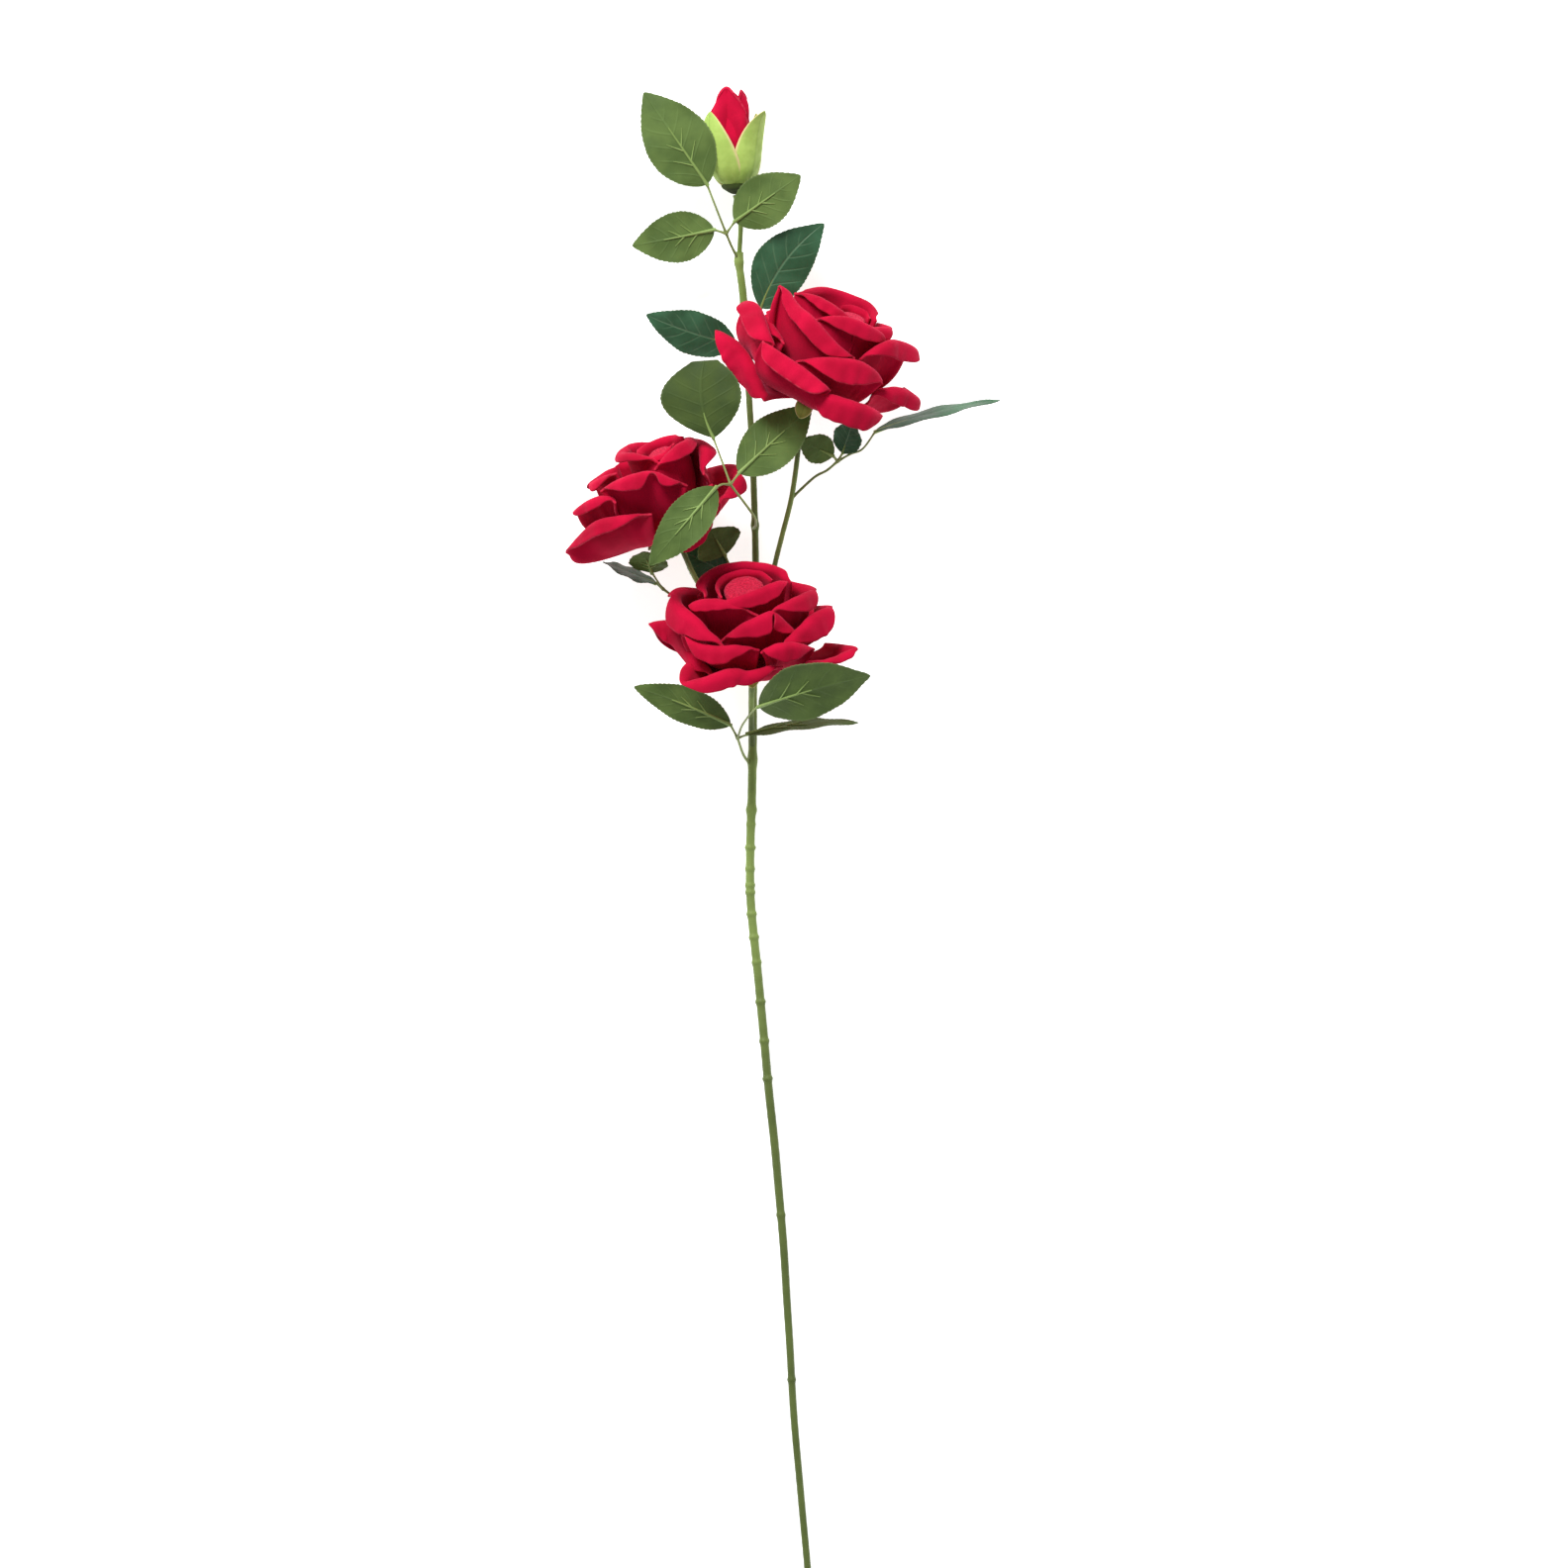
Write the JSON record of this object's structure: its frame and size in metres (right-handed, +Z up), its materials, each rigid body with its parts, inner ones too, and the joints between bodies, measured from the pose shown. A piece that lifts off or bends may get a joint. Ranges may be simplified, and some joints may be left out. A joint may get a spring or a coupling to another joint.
{
  "type": "artificial cut rose spray",
  "caption": "Long-stemmed artificial rose spray with open red velvet blooms, a closed bud and green leaf sprays, lying on a flat surface.",
  "frame": {"origin": "centre of the bounding box in X and Y, on the flat surface that the spray lies on", "axes": "+Y along the stem from its cut end towards the bud, +Z up from the surface, +X to the right when seen from above with the bud at the top"},
  "size_m": [0.232, 0.832, 0.1125],
  "materials": {
    "velvet": "crimson velvet flock on foam",
    "leaf_cloth": "matte printed cloth",
    "stem_plastic": "satin moulded plastic",
    "joint_plastic": "satin moulded plastic",
    "sepal_cloth": "matte printed cloth"
  },
  "bodies": {
    "root": {"main_stem": "stem_plastic", "top_joint": "joint_plastic", "bud_stem": "joint_plastic", "left_branch": "stem_plastic", "centre_branch": "stem_plastic", "right_branch": "stem_plastic", "top_leaf_stalk": "stem_plastic", "top_leaflet_1": "leaf_cloth", "top_leaflet_2": "leaf_cloth", "top_leaflet_3": "leaf_cloth", "back_leaf_stalk": "stem_plastic", "back_leaflet_1": "leaf_cloth", "back_leaflet_2": "leaf_cloth", "middle_leaf_stalk": "stem_plastic", "middle_leaflet_1": "leaf_cloth", "middle_leaflet_2": "leaf_cloth", "middle_leaflet_3": "leaf_cloth", "right_leaf_stalk": "stem_plastic", "right_leaflet_1": "leaf_cloth", "right_leaflet_2": "leaf_cloth", "right_leaflet_3": "leaf_cloth", "inner_leaf_stalk": "stem_plastic", "inner_leaflet_1": "leaf_cloth", "inner_leaflet_2": "leaf_cloth", "left_leaf_stalk": "stem_plastic", "left_leaflet_1": "leaf_cloth", "left_leaflet_2": "leaf_cloth", "bottom_leaf_stalk": "stem_plastic", "bottom_leaflet_1": "leaf_cloth", "bottom_leaflet_2": "leaf_cloth", "bottom_leaflet_3": "leaf_cloth", "left_bloom_calyx": "sepal_cloth", "left_bloom_petals_4": "velvet", "left_bloom_petals_3": "velvet", "left_bloom_petals_2": "velvet", "left_bloom_petals_1": "velvet", "left_bloom_core": "velvet", "centre_bloom_calyx": "sepal_cloth", "centre_bloom_petals_4": "velvet", "centre_bloom_petals_3": "velvet", "centre_bloom_petals_2": "velvet", "centre_bloom_petals_1": "velvet", "centre_bloom_core": "velvet", "right_bloom_calyx": "sepal_cloth", "right_bloom_petals_4": "velvet", "right_bloom_petals_3": "velvet", "right_bloom_petals_2": "velvet", "right_bloom_petals_1": "velvet", "right_bloom_core": "velvet", "bud_calyx": "sepal_cloth", "bud_petals": "velvet"}
  },
  "joints": []
}
